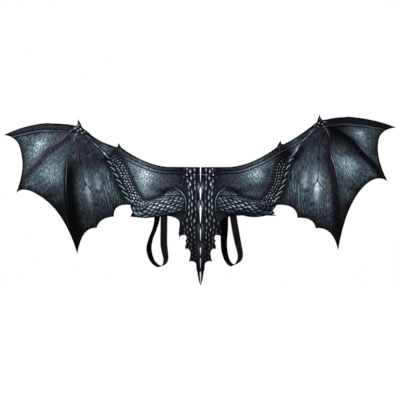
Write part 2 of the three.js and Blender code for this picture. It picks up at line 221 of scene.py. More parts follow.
wingPrint = {
    "membrane": 0.30,  # how light the bare wing skin is, 0 black to 1 white
    "darkest": 0.07,
    "edgeInk": (1.5, 6.0),  # the black line along the cut edge: full up to here, gone from here
    # shades: how far from the edge, arm, body or spine they are full, where they are gone, how dark
    "edgeShade": (0, 24, 0.4),
    "armShade": (4, 18, 0.6),
    "bodyShade": (0, 40, 0.55),
    "spineShade": (10, 24, 0.36),
    "wrist": (430, 222),
    # from the wrist: where the panels begin to darken, where they are darkest, and how much
    "panelFade": (200, 330, 0.56),
    "bandFade": (50, 120),  # from the wrist: where the third finger's band begins and is full
    "wingRoot": [(-100, 240), (110, 310), (200, 420)],  # where the open wing begins: up, out
    "rootSoft": 20,  # how far on both sides of that line it fades in
    # fingers: a light line, and a dark band beside it on the left half and on the right half:
    # where it begins, is full, starts to fade and ends, how dark it is, and the share where it is full
    "secondFinger": {
        "line": [(452, 222), (491, 185), (543, 146), (582, 105), (626, 57), (651, 14), (660, -12)],
        "lights": [0.2, 0.4, 0.5, 0.4, 0.3, 0.48, 0.44, 0.3, 0.2, 0.12, 0.1],
        "bands": [(2, -2, -14, -24, 0.42, 0.12), (3, -2, -15, -26, 0.84, 0.1)],
    },
    "thirdFinger": {
        "line": [(456, 200), (473, 139), (477, 94), (481, 37), (479, -18), (472, -72), (461, -125),
                 (447, -189), (439, -228)],
        "lights": [0, 0.1, 0.34, 0.4, 0.14, 0.05, 0, 0, 0],
        "bands": [(13, 2, -18, -52, 0.92, 0.34), (4, -2, -18, -38, 0.62, 0.2)],
    },
    # share of that share where a band begins, share of the finger where it starts to fade, how much it fades
    "bandEnds": (0.3, 0.75, 0.4),
    "fingerWidth": 1.4,
    "ridge": {"line": [(409, 196), (393, 183), (379, 165), (362, 151), (343, 130), (328, 114)], "dash": 4.5,
              "halfWidth": 2.4, "lights": [0.42, 0.52, 0.4, 0.3, 0.56, 0.6, 0.4, 0.52, 0.85, 0.5, 0.45]},
    "armAxis": [(330, 122), (290, 88), (266, 42), (247, -4), (231, -42), (208, -68), (172, -62), (116, -40),
                (60, -16)],
    "armOutline": [(331, 114), (309, 86), (282, 43), (261, -4), (247, -39), (244, -84), (212, -100),
                   (163, -101), (109, -86), (63, -73), (52, -46), (66, -14), (88, 5), (113, 0), (141, -23),
                   (180, -38), (206, -36), (214, -25), (231, 0), (250, 43), (266, 82), (284, 114),
                   (306, 132)],
    "bodyOutline": [(16, 84), (60, 84), (62, 40), (54, 0), (44, -30), (46, -66), (56, -92), (76, -120),
                    (78, -150), (58, -165), (52, -200), (32, -250), (10, -270), (13, -150)],
    # first plate on the outer side of the forearm, the last one, and how each runs
    "plates": {"first": (334, 104), "last": (272, -24), "count": 7, "run": (-17, -13.5), "longer": 0.55,
               "bow": (-1.5, 1.5), "halfWidths": (1.65, 1.75, 1.65), "lights": (0.56, 0.86, 0.7),
               "shade": (6.8, 23.8, 0.66)},
    # light dabs: out, up, half length, half width, heading in degrees, light
    "dabs": [
        (576, 160, 46, 18, 124, 0.32),  # glow of the first panel
        (586, 176, 24, 9, 30, 0.10),
        (532, 66, 40, 34, 70, 0.20),  # glow of the second panel
        (402, 0, 58, 10, 80, 0.27),  # long gleams of the third panel
        (367, 24, 28, 9, 75, 0.24),
        (198, 50, 40, 26, 90, 0.30),  # glow beside the arm
        (203, -8, 18, 16, 0, 0.08),
        (205, 70, 80, 60, 90, 0.08),
        (95, 45, 60, 42, 90, -0.12),
        (225, 98, 60, 14, -25, 0.12),
        (574, 182, 20, 14, 0, -0.1),
        (316, 150, 30, 24, -30, 0.1),
        (431, 70, 40, 22, 90, -0.08),
        (285, -20, 24, 20, 0, 0.1),
        (628, 48, 60, 40, 60, 0.1),
        (655, 150, 26, 60, 90, -0.06),
        (570, 205, 70, 10, 0, -0.08),
        (535, -12, 60, 20, 145, -0.1),
        (0, -300, 50, 40, 90, -0.2),
        (338, 160, 30, 9, -32, 0.16),
        (432, 165, 62, 52, 90, -0.13),  # shade under the wrist
        (400, 110, 50, 46, 90, -0.13),
        (300, 140, 36, 22, -30, -0.14),
        (130, -6, 46, 12, 20, -0.16),  # shade over the upper arm
        (352, 112, 32, 26, 90, -0.12),
        (500, -70, 60, 30, 115, -0.12),  # dark hem of the second panel
        (100, -88, 50, 16, 0, -0.14),
        (88, -106, 30, 16, 0, 0.08),
        (331, 124, 16, 12, 0, 0.08),
        (56, 74, 26, 14, 0, -0.1),
        (325, 5, 80, 30, 75, -0.05),
    ],
    # the right half is darker, with finer scales and lines: shares of what the left half has
    "rightHalf": {
        "skin": 0.84,
        "scales": 0.8,
        "scaleWidth": 0.78,
        "ground": 0.45,  # between the scales
        "lines": 0.8,
        "lineWidth": 0.94,
        "strip": 0.07,  # how light the first finger's strip is
        "between": (30, 160),  # how far out the left half's print changes to the right half's
        # at places on the right half itself: dabs on its lines, skin and scales, and strokes of its own
        "lineShades": [(490, 208, 50, 20, -45, -0.75)],
        "dabs": [
            (480, 215, 60, 26, 140, -0.2),
            (478, 238, 50, 14, 0, -0.2),
            (290, 142, 60, 26, -30, -0.1),
            (418, 18, 56, 12, 80, 0.2),
            (378, 45, 30, 11, 80, 0.12),
            (537, 95, 30, 26, 70, 0.1),
            (388, 129, 40, 30, 0, 0.12),
            (418, 20, 50, 30, 85, 0.14),
            (430, -54, 50, 50, 0, 0.1),
            (520, -10, 60, 30, 70, 0.1),
            (500, 100, 30, 24, 0, 0.12),
            (540, 150, 44, 18, -45, -0.16),
            (556, 228, 34, 18, 0, -0.14),
            (590, 182, 26, 22, 0, -0.1),
            (470, 180, 40, 28, -45, -0.1),
            (212, 12, 30, 26, 0, -0.18),
            (352, 134, 34, 10, 52, -0.2),
            (612, 146, 26, 30, 60, -0.1),
            (552, 118, 34, 16, -45, -0.14),
            (404, 80, 40, 24, 90, 0.1),
            (427, 32, 30, 16, 85, 0.08),
            (365, 10, 70, 12, 75, 0.07),
            (459, -40, 60, 16, 85, 0.08),
            (524, 50, 34, 20, 90, 0.05),
            (524, -36, 20, 20, 0, 0.08),
            (172, 64, 26, 18, 0, 0.06),
            (236, 50, 60, 20, 72, -0.17),
            (365, 98, 20, 16, 0, 0.08),
            (363, -66, 20, 20, 0, 0.08),
            (524, 128, 16, 14, 0, -0.09),
            (620, 130, 14, 20, 0, -0.06),
        ],
        "strokes": [
            ([(467, 122), (481, 80), (494, 9)], [1.5, 1.4, 1.2], [0.7, 0.5, 0.2]),
            ([(409, 219), (374, 183), (361, 172), (344, 152), (329, 124), (316, 110)], [1.5],
             [0.36, 0.45, 0.5, 0.5, 0.45, 0.35]),
        ],
        "scaleShades": [
            (280, 50, 60, 24, 72, 0.05),
            (308, 124, 26, 20, 30, -0.8),
            (236, -70, 26, 18, 0, -0.35),
            (130, -54, 70, 14, -14, 0.25),
            (150, -86, 70, 10, -3, -0.5),
        ],
    },
    # light and shade on the scales, in the same columns
    "scaleShades": [
        (125, -90, 60, 16, 6, -0.65),
        (140, -78, 40, 10, 0, -0.2),
        (236, -72, 16, 20, 0, -0.35),
        (75, -60, 16, 24, 0, -0.3),
        (262, -36, 30, 24, 0, 0.1),
        (157, -68, 20, 14, 0, 0.2),
        (190, -97, 20, 8, 0, -0.5),
        (312, 120, 34, 26, 40, -0.5),
        (68, -118, 14, 26, 0, -0.55),
    ],
    # smooth places of the skin, in the same columns
    "sleeks": [
        (402, 0, 60, 18, 80, 0.6),
        (367, 24, 34, 16, 75, 0.6),
        (425, 60, 40, 26, 90, 0.3),
        (532, 66, 70, 60, 0, 0.3),
    ],
    # purple dabs, in the same columns
    "purples": [
        (430, 170, 70, 50, 90, 0.9),
        (300, 135, 50, 26, -30, 0.8),
        (190, -18, 50, 16, 0, 0.9),
        (100, 34, 50, 40, 0, 0.9),
        (88, -100, 34, 24, 0, 1.0),
        (560, 232, 110, 20, 0, 0.8),
        (640, 10, 30, 26, 60, 0.8),
        (250, 40, 80, 14, 65, 0.8),
        (385, -30, 50, 14, 80, 0.6),
        (402, 0, 60, 14, 80, 0.8),
        (367, 24, 30, 12, 75, 0.8),
    ],
    # long strands of hair-thin skin folds, in the same columns
    "strands": [
        (325, 5, 80, 30, 75, 1.0),
        (440, 120, 60, 40, 90, 0.5),
        (575, 150, 50, 40, 120, 0.3),
    ],
    # painted lines: points, half widths along them, lights along them
    "lines": [
        ([(446, 200), (453, 180), (459, 161)], [1.6, 1.4, 1.2], [0.5, 0.5, 0.2]),
        ([(90, 8), (70, -6), (56, -26), (52, -48), (54, -70)], [1.0, 1.2, 1.0], [0.4, 0.66, 0.5, 0.36]),
        ([(408, 120), (392, 127), (381, 136)], [1.6, 1.6, 1.2], [0.3, 0.4, 0.2]),
        ([(398, 118), (395, 86)], [1.5, 1.3], [0.3, 0.15]),
        ([(293, 166), (290, 140)], [1.4, 1.3], [0.3, 0.16]),
        ([(285, 146), (283, 118)], [1.5, 1.3], [0.34, 0.24]),
        ([(436, 247), (434, 231)], [2.0, 2.6], [0.5, 0.5]),
    ],
    # studs of the wrist: out, up, half width, light
    "studs": [
        (464, 213, 4.4, 0.46), (448, 221, 4.2, 0.62), (439, 226, 2.6, 0.7), (439, 212, 3.0, 0.9),
        (429, 217, 3.6, 0.72), (424, 204, 3.4, 0.6), (415, 208, 3.2, 0.52), (451, 202, 2.6, 0.5),
        (442, 202, 2.8, 0.66), (434, 199, 2.4, 0.36),
    ],
    # dark cracks of the skin, in the columns of the lines
    "cracks": [
        ([(421, 56), (412, 24), (397, 8), (386, -10)], [1.5, 1.8, 1.3], [0.65, 0.8, 0.55]),
        ([(413, 20), (418, 4), (427, -12)], [1.3, 1.3, 1.0], [0.7, 0.6, 0.3]),
        ([(386, -8), (384, -24)], [1.8, 1.2], [0.5, 0.2]),
    ],
    # spine streaks: top, bottom, half width, light, light of the flares beside its top
    "streaks": [
        (96, 25, 2.7, 1.0, 0.0),
        (10, -38, 3.9, 1.0, 0.34),
        (-54, -120, 4.0, 1.0, 0.34),
        (-136, -184, 2.7, 0.85, 0.2),
        (-204, -234, 2.7, 0.85, 0.12),
        (-240, -284, 2.6, 0.66, 0.04),
        (-290, -336, 3.0, 0.8, 0.0),
    ],
    # a streak's form: share of its length where it is widest, share where it would close, how it narrows
    "streakForm": (0.2, 1.04, 0.6),
    "streakPast": 0.25,  # share of its length that its light runs on past its ends
    # millimetres inside a streak: where its light begins and is full, and the same for the dark gap round it
    "streakEdge": (-0.6, 0.9),
    "streakGapEdge": (-4.5, -1.5),
    "streakGap": (0.3, 3.0),  # how light that gap is, and how soon a flare covers it
    # flares: where they run, out at a height over the streak's top, their half width, and how they fade
    "flare": {"heights": (-30, -12, 0, 14), "outs": (3.5, 5.5, 6, 5.5), "halfWidth": 4.6, "above": (8, 22),
              "below": (-34, -4)},
    # the casing's printed lines: out, how far below the tape's edge, how much they show, how light between
    "casing": [(0, 4.7, 1.0, 0.36), (8, 4.7, 1.0, 0.3), (14, 4.7, 1.0, 0.12), (54, 4.7, 1.0, 0.12),
               (64, -4, 1.0, 0.16), (90, -4, 1.0, 0.16),
               (140, -2, 0.9, 0.3), (230, -2, 0.8, 0.3), (300, 0, 0.3, 0.1), (420, -3, 0.3, 0.1),
               (470, 5.7, 0.4, 0.0), (524, 5.7, 0.6, 0.26), (545, 5.7, 0.6, 0.44), (588, 1.4, 0.7, 0.38),
               (638, -0.4, 0.8, 0.42), (670, 0, 0.8, 0.34)],
    "rightCasing": [(0, 4.7, 1.0, 0.36), (20, 4.7, 1.0, 0.32), (30, 4.7, 1.0, 0.12), (54, 4.7, 1.0, 0.12),
                    (64, -4, 1.0, 0.12), (105, -4, 1.0, 0.2),
                    (134, -2, 0.9, 0.34), (190, -3, 0.9, 0.54), (248, -1, 0.8, 0.32), (300, 0, 0.6, 0.18),
                    (420, -3, 0.3, 0.1), (470, 5.7, 0.6, 0.2), (545, 5.7, 0.6, 0.3), (588, 1.4, 0.6, 0.3),
                    (638, -0.4, 0.6, 0.24), (670, 0, 0.6, 0.2)],
    "casingInk": 5.2,  # from the light line to the dark ones, above and below it
    "casingDark": 0.84,
    # from the middle of a dark line and of the light one: where it fades and is gone
    "casingInkEdge": (1.0, 3.2),
    "casingLightEdge": (0.8, 2.8),
    "casingCarry": 60,  # how far the lines run on past the ends of the tape
    "fingerStrip": (430, 0.17),  # beyond this far out the casing is dark, and how light it is there
    # scales: along the row from scale to scale, twice the distance of the rows
    "beads": (10.4, 18.5),
    "armScales": (22, 17),
    "elbow": (0.42, 0.6),  # share of the arm where beads grow into the long scales of the upper arm
    # the upper arm's rows lie closer on its upper side: how much, from where and to where
    "armFiner": (0.7, 4, 26),
    "bodyScales": (23, 26),
    "bodyFalls": [(-130, 0.1), (-20, 0.2)],  # up, how much their rows fall toward the spine
    "bodyStart": -4.5,  # how far out their first column is
    "bodyWidths": [(-110, 1.0), (-75, 0.84), (-20, 0.84), (20, 1.0)],  # up, how wide the columns are
    "bodyTaper": [(-270, 0.8), (-130, 1.0)],  # up, size
    # scales: share of the arm or up, then half length and half width in steps of the lattice, then light
    "armShapes": [(0.0, 0.86, 0.5, 0.46), (0.12, 0.82, 0.48, 0.54), (0.46, 0.86, 0.5, 0.58),
                  (0.6, 1.1, 0.58, 0.56), (0.82, 1.15, 0.54, 0.5), (1.0, 1.15, 0.44, 0.38)],
    "bodyShapes": [(-260, 0.9, 0.18, 0.14), (-180, 1.0, 0.21, 0.3), (-110, 1.1, 0.25, 0.48),
                   (-40, 1.2, 0.29, 0.52), (80, 1.2, 0.33, 0.54)],
    "scaleGround": [(-220, 0.05), (-20, 0.085)],  # up, how light the skin between the scales is
    "scaleSoft": (-1, 5),  # inside the outlines: where the scales begin to show, and show in full
    "bodyPurple": 0.8,
    "bandPurples": (2.4, 1.6),  # of the second finger's band, and of the third's on the right half
    "flareWhite": 5.0,  # how soon a flare takes the purple away
    "strandLight": 0.3,
    # strokes, in half widths: where they fade and are gone, and the same for the gap beside a light one
    "strokeEdge": (0.5, 1.5),
    "gapEdge": (1.6, 3.0),
    "strokeFar": 9.0,  # beyond this a stroke isn't felt
    "strokeGap": 0.75,  # how dark the gap is
    "gapLights": (0.1, 0.5),  # how light a stroke is where its gap begins to show, and shows in full
    "fanCentre": (405, 420),  # where the wrinkles of the open wing run together
    "fanSpread": 380,  # distance from there where they have their true width
    "innerShort": 2.0,  # how many times shorter they are on the inner wing
}


# where the same places of the print lie on the left half and on the right half: out, up, out, up
landmarks = np.array([
    (0, 82, 0, 82), (0, 0, 0, 0), (0, -100, 0, -100), (0, -342, 0, -342), (78, -156, 78, -156),
    (60, 0, 60, 0), (121, 83, 108, 82), (118, -93, 121, -92), (250, -54, 273, -54), (251, -95, 273, -91),
    (293, 168, 286, 177), (310, -95, 347, -100), (371, -135, 411, -137), (440, -226, 493, -214),
    (588, -13, 587, 16), (658, -11, 668, 31), (640, 127, 635, 174), (702, 196, 698, 223),
    (547, 240, 528, 263), (434, 225, 427, 247), (475, 114, 464, 134), (480, 58, 481, 80), (480, 20, 489, 43),
    (466, -64, 488, -45), (443, -157, 493, -144), (571, 106, 572, 139), (523, 140, 527, 176),
    (491, 185, 500, 214), (328, 114, 329, 122), (362, 151, 360, 170), (325, 97, 323, 106),
    (259, -34, 272, -33), (294, 36, 300, 36), (263, 36, 277, 36), (243, -15, 257, -15),
], float)


def layPrint(x, z):  # the place of the painted half that lies at each point of the cloth, in millimetres
    at = np.c_[np.abs(x), z] / mm
    right = x > 0
    left, laid = landmarks[:, :2], landmarks[:, 2:]

    def bend(a, b):  # as a thin plate bends
        square = ((a[:, None] - b[None]) ** 2).sum(2) / 100 ** 2  # decimetres keep the numbers small
        return square * np.log(square + 1e-12)  # never the logarithm of 0

    ones = np.c_[np.ones(len(laid)), laid]
    system = np.block([[bend(laid, laid), ones], [ones.T, np.zeros((3, 3))]])
    pull = np.linalg.solve(system, np.vstack([left, np.zeros((3, 2))]))
    moved = bend(at, laid) @ pull[:-3] + np.c_[np.ones(len(at)), at] @ pull[-3:]
    return np.where(right[:, None], moved, at)


def readTable(name, at):  # the further columns of a table of the print, by places in its first one
    first, *others = np.transpose(wingPrint[name])
    return np.array([np.interp(at, first, column) for column in others])


def dabbed(dabs, at):  # soft oval dabs, added up
    total = np.zeros(len(at))
    for out, up, length, width, heading, light in dabs:
        turn = math.radians(heading)
        reach = at - (out, up)
        ahead = (reach @ (math.cos(turn), math.sin(turn))) / length
        aside = (reach @ (-math.sin(turn), math.cos(turn))) / width
        total += light * np.exp(-ahead ** 2 - aside ** 2)
    return total


def brushed(strokes, at):  # the nearest stroke: distance in half widths, and how strong it is
    far = np.full(len(at), wingPrint["strokeFar"])
    strength = np.zeros(len(at))
    cell = wingCloth["cell"] / mm
    for points, widths, lights in strokes:
        gap, along = nearLine(smoothLine(points), at)
        if min(widths) > cell / 2:
            gap = np.abs(gap)  # only hair lines need their two sides
        width = np.interp(along, np.linspace(0, 1, len(widths)), widths)
        light = np.interp(along, np.linspace(0, 1, len(lights)), lights)
        closer = np.abs(gap / width) < np.abs(far)
        far[closer] = (gap / width)[closer]
        kept = np.abs(gap) < wingPrint["gapEdge"][1] * width + 1.5 * cell  # past its gap, to the next points
        strength[closer] = np.where(kept, light, 0)[closer]
    return far, strength


def lightStrokes():  # points, half widths along them, lights along them
    strokes = [
        (wingPrint[finger]["line"], [wingPrint["fingerWidth"]], wingPrint[finger]["lights"])
        for finger in ("secondFinger", "thirdFinger")
    ]
    strokes += wingPrint["lines"]
    ridge = wingPrint["ridge"]
    spots = smoothLine(ridge["line"])
    walked = walkedAlong(spots)
    for middle, light in zip(np.linspace(0, walked[-1], len(ridge["lights"])), ridge["lights"]):
        dash = (middle - ridge["dash"], middle + ridge["dash"])
        ends = np.transpose([np.interp(dash, walked, v) for v in spots.T])
        strokes.append((ends, [ridge["halfWidth"]], [light]))
    for out, up, width, light in wingPrint["studs"]:
        strokes.append(([(out - 0.5, up), (out + 0.5, up)], [width], [light]))  # as short as a dot
    plates = wingPrint["plates"]
    first, last = np.array(plates["first"]), np.array(plates["last"])
    for share in np.linspace(0, 1, plates["count"]):
        start = first + share * (last - first)
        run = np.array(plates["run"]) * (1 + plates["longer"] * share)
        line = [start, start + 0.5 * run + plates["bow"], start + run]
        strokes.append((line, plates["halfWidths"], plates["lights"]))
    return strokes


def bandBeside(finger, at, onRight):  # how dark a finger's band is, full between its two soft sides
    gap, along = nearLine(smoothLine(wingPrint[finger]["line"]), at)
    begins, fades, less = wingPrint["bandEnds"]
    left, right = (
        dark * ease(begin, full, gap) * (1 - ease(fading, end, gap)) * ease(begins * start, start, along)
        for begin, full, fading, end, dark, start in wingPrint[finger]["bands"])
    return (left + onRight * (right - left)) * (1 - less * ease(fades, 1, along))


def layScales(at, arm, body):  # a lattice, whole at each scale's middle, their forms and where they show
    axis = smoothLine(wingPrint["armAxis"])
    across, along = nearLine(axis, at)
    shares = np.linspace(0, 1, 200)  # fine steps along the arm
    step = walkedAlong(axis)[-1] / len(shares)
    bends = wingPrint["elbow"]
    pitch, rows = (np.interp(shares, bends, pair) for pair in zip(wingPrint["beads"], wingPrint["armScales"]))
    counted = np.concatenate([[0], np.cumsum(step / pitch[:-1])])
    finer, begin, end = wingPrint["armFiner"]
    across *= 1 + finer * ease(*bends, along) * ease(begin, end, -across)
    row, side = np.interp(along, shares, counted), across / np.interp(along, shares, rows)

    onArm, onBody = (ease(*wingPrint["scaleSoft"], inside) for inside in (arm, body))
    isBody = onBody > onArm
    out, up = at.T
    taper, falls, widths = (readTable(name, up)[0] for name in ("bodyTaper", "bodyFalls", "bodyWidths"))
    bodyPitch, bodyRows = wingPrint["bodyScales"]
    row = np.where(isBody, (up - falls * out) / taper / bodyPitch, row)
    side = np.where(isBody, (out / widths - wingPrint["bodyStart"]) / taper / bodyRows, side)
    shape = np.where(isBody, readTable("bodyShapes", up), readTable("armShapes", along))
    return np.c_[row + side, row - side, np.zeros(len(at))], shape, np.maximum(onArm, onBody)


def onOpenWing(at):
    past = at[:, 0] - readTable("wingRoot", at[:, 1])[0]
    return ease(-wingPrint["rootSoft"], wingPrint["rootSoft"], past)


def paintTone(at, own, onRight, rim, arm, body):  # how light the skin is under its lines and scales
    far = np.hypot(*(at - wingPrint["wrist"]).T)
    start, end, fade = wingPrint["panelFade"]
    tone = wingPrint["membrane"] * (1 - fade * onOpenWing(at) * ease(start, end, far))
    rightHalf = wingPrint["rightHalf"]
    tone += dabbed(wingPrint["dabs"], at) + onRight * dabbed(rightHalf["dabs"], own)
    tone = np.maximum(tone, wingPrint["darkest"]) * (1 + onRight * (rightHalf["skin"] - 1))
    tone *= 1 - bandBeside("secondFinger", at, onRight)
    tone *= 1 - bandBeside("thirdFinger", at, onRight) * ease(*wingPrint["bandFade"], far)
    plates = wingPrint["plates"]
    plateGap = np.abs(nearLine(np.array([plates["first"], plates["last"]], float), at)[0])
    shades = ((wingPrint["edgeShade"], rim), (wingPrint["armShade"], -arm), (plates["shade"], plateGap),
              (wingPrint["bodyShade"], -body), (wingPrint["spineShade"], at[:, 0]))
    for (full, gone, dark), gap in shades:
        tone *= 1 - dark * (1 - ease(full, gone, gap))
    return tone


def paintSpine(piece, x, z):  # a row of light streaks down the middle, each between two flares
    half = np.full(len(x), -9.0)  # well outside every streak
    light = np.zeros(len(x))
    glow = np.zeros(len(x))
    flare = wingPrint["flare"]
    head, tail, narrowing = wingPrint["streakForm"]
    for top, bottom, width, strength, flareLight in wingPrint["streaks"]:
        share = (top - z) / (top - bottom)
        shape = width * np.minimum(1, np.sqrt(np.clip(share, 0, 1) / head))
        shape *= np.clip(tail - share, 0, 1) ** narrowing
        half = np.where((share > 0) & (share < 1), shape, half)
        light = np.where(np.abs(share - 0.5) < 0.5 + wingPrint["streakPast"], strength, light)
        away = np.abs(x) - np.interp(z - top, flare["heights"], flare["outs"])
        faded = (1 - ease(*flare["above"], z - top)) * ease(*flare["below"], z - top)
        glow += flareLight * faded * np.exp(-(away / flare["halfWidth"]) ** 2)
    addField(piece, "streakHalf", half)
    addField(piece, "streakLight", light)
    gap, cover = wingPrint["streakGap"]
    addField(piece, "streakGap", gap + (1 - gap) * np.clip(cover * glow, 0, 1))
    return glow


def paintCasing(piece, x, places, seam):  # the printed lines along the tape's lower edge
    seam = carriedOn(seam, wingPrint["casingCarry"] * mm)
    left, right = (readTable(name, np.abs(x)) for name in ("casing", "rightCasing"))
    below, shown, light = np.where(x < 0, left, right)
    drop = -nearLine(seam, places)[0] / mm - below  # below the light line
    addField(piece, "casingDrop", drop)
    addField(piece, "casingInk", 1 - wingPrint["casingDark"] * shown)
    addField(piece, "casingLight", light)
    return drop


def paintPurple(piece, at, onRight, body, glow):
    purple = dabbed(wingPrint["purples"], at)
    purple += wingPrint["bodyPurple"] * ((body > 0) | (at[:, 0] < wingPrint["spineShade"][1]))
    second, third = wingPrint["bandPurples"]
    purple += second * bandBeside("secondFinger", at, onRight)
    purple += third * onRight * bandBeside("thirdFinger", at, onRight)
    addField(piece, "purple", np.clip(purple - wingPrint["flareWhite"] * glow, 0, 1))


def paintFolds(piece, at):  # how the skin's fine folds run, and where they are smooth or long
    polar = at - wingPrint["fanCentre"]
    fan = np.arctan2(polar[:, 1], polar[:, 0]) * wingPrint["fanSpread"]
    inner = at * (1, wingPrint["innerShort"])
    grain = np.where(onOpenWing(at)[:, None] < 0.5, inner, np.c_[fan, np.hypot(*polar.T)])
    addField(piece, "grain", np.c_[grain, np.zeros(len(at))])
    addField(piece, "strand", wingPrint["strandLight"] * np.clip(dabbed(wingPrint["strands"], at), 0, 1))
    addField(piece, "sleek", np.clip(dabbed(wingPrint["sleeks"], at), 0, 1))


def paintStrokes(piece, at, own, onRight):
    rightHalf = wingPrint["rightHalf"]
    far, strength = brushed(lightStrokes(), at)
    far /= 1 + onRight * (rightHalf["lineWidth"] - 1)
    strength *= np.maximum(0, 1 + onRight * (rightHalf["lines"] - 1 + dabbed(rightHalf["lineShades"], own)))
    rightFar, rightStrength = brushed(rightHalf["strokes"], own)
    rightOnly = (onRight > 0.5) & (np.abs(rightFar) < np.abs(far)) & (rightStrength > 0)
    far, strength = np.where(rightOnly, (rightFar, rightStrength), (far, strength))
    addField(piece, "lightFar", far)
    addField(piece, "lightStrength", strength)
    addField(piece, "lightGap", 1 - wingPrint["strokeGap"] * ease(*wingPrint["gapLights"], strength))
    far, strength = brushed(wingPrint["cracks"], at)
    addField(piece, "inkFar", far)
    addField(piece, "inkLeft", 1 - strength)


def paintScales(piece, at, own, onRight, arm, body):
    rightHalf = wingPrint["rightHalf"]
    lattice, shape, shown = layScales(at, arm, body)
    half, width, light = shape
    width *= 1 + onRight * (rightHalf["scaleWidth"] - 1)
    light *= np.maximum(0, 1 + dabbed(wingPrint["scaleShades"], at))
    light *= 1 + onRight * (rightHalf["scales"] - 1 + dabbed(rightHalf["scaleShades"], own))
    ground = readTable("scaleGround", own[:, 1])[0]
    addField(piece, "scaleLattice", lattice)
    addField(piece, "scaleShape", np.c_[half, width, light])
    addField(piece, "scaleShown", shown)
    addField(piece, "scaleGround", ground * (1 + onRight * (rightHalf["ground"] - 1)))


def paintPrint(piece, outline, seam):
    places = np.array([v.co for v in piece.data.vertices])[:, ::2]
    x, z = places.T / mm
    at, own = layPrint(*places.T), np.c_[np.abs(x), z]
    onRight = ease(*wingPrint["rightHalf"]["between"], x)
    rim = inFrom(outline, places) / mm
    arm, body = (inFrom(np.array(wingPrint[name], float), at) for name in ("armOutline", "bodyOutline"))
    tone = paintTone(at, own, onRight, rim, arm, body)
    drop = paintCasing(piece, x, places, seam)
    start, light = wingPrint["fingerStrip"]
    light += onRight * (wingPrint["rightHalf"]["strip"] - light)
    tone = np.where((drop < 0) & (at[:, 0] > start), light, tone)
    glow = paintSpine(piece, x, z)
    addField(piece, "tone", tone + glow)
    addField(piece, "rim", rim)
    paintPurple(piece, at, onRight, body, glow)
    paintFolds(piece, at)
    paintStrokes(piece, at, own, onRight)
    paintScales(piece, at, own, onRight, arm, body)
    print("painted the print on", len(at), "points")


# Needled polyester felt with a heat-transfer print: dull, with a short nap and no gloss.
feltPrint = {
    # colours by how light the print is, of the grey skin and of the purple one
    "lights": (0.0, 0.06, 0.12, 0.25, 0.42, 0.62, 0.8, 1.0),
    "skin": ("#020202", "#0d0f10", "#191d21", "#343f46", "#586b74", "#91a2ab", "#c1ced6", "#ffffff"),
    "purpleSkin": ("#020202", "#0e0d12", "#1e1d24", "#3b3b46", "#5e6a74", "#91a2ab", "#c1ced6", "#ffffff"),
    # folds of the skin: millimetres across and along, detail and distortion of their noise
    "wrinkle": (3.2, 15.0, 1.5, 0.3),
    "crackle": (4.4, 12.0, 1.0, 0.4),
    "strand": (7.0, 90.0, 1.0, 0.5),
    "wrinkleEdge": (0.28, 0.72),  # noise at the bottom of a fold and at its crest
    "crackleEdge": (0.0, 0.1),  # noise away from its middle, in a crack and beside it
    "strandEdge": (0.0, 0.09),
    # how light the skin is at the bottom of a fold and at its crest
    "wrinkleLights": (0.52, 1.48),
    "crackleLights": (0.7, 1.12),
    "scaleShift": 0.28,  # how far scales stray from their rows
    "scaleCorners": 0.65,  # from 0, oval, to 1, a lozenge
    "scaleEdge": (0.58, 1.0),  # share of a scale where it fades and is gone
    "scaleEnds": (1.4, 0.6),  # how light its two ends are
    "scaleLights": (0.6, 1.15),  # the darkest scale and the lightest
    "nap": 2.5,  # millimetres; real fibres are 0.05 mm, drawn coarse enough to show
    "napDepth": 0.4 * mm,
    "roughness": 0.85,
    "specular": 0.03,
}


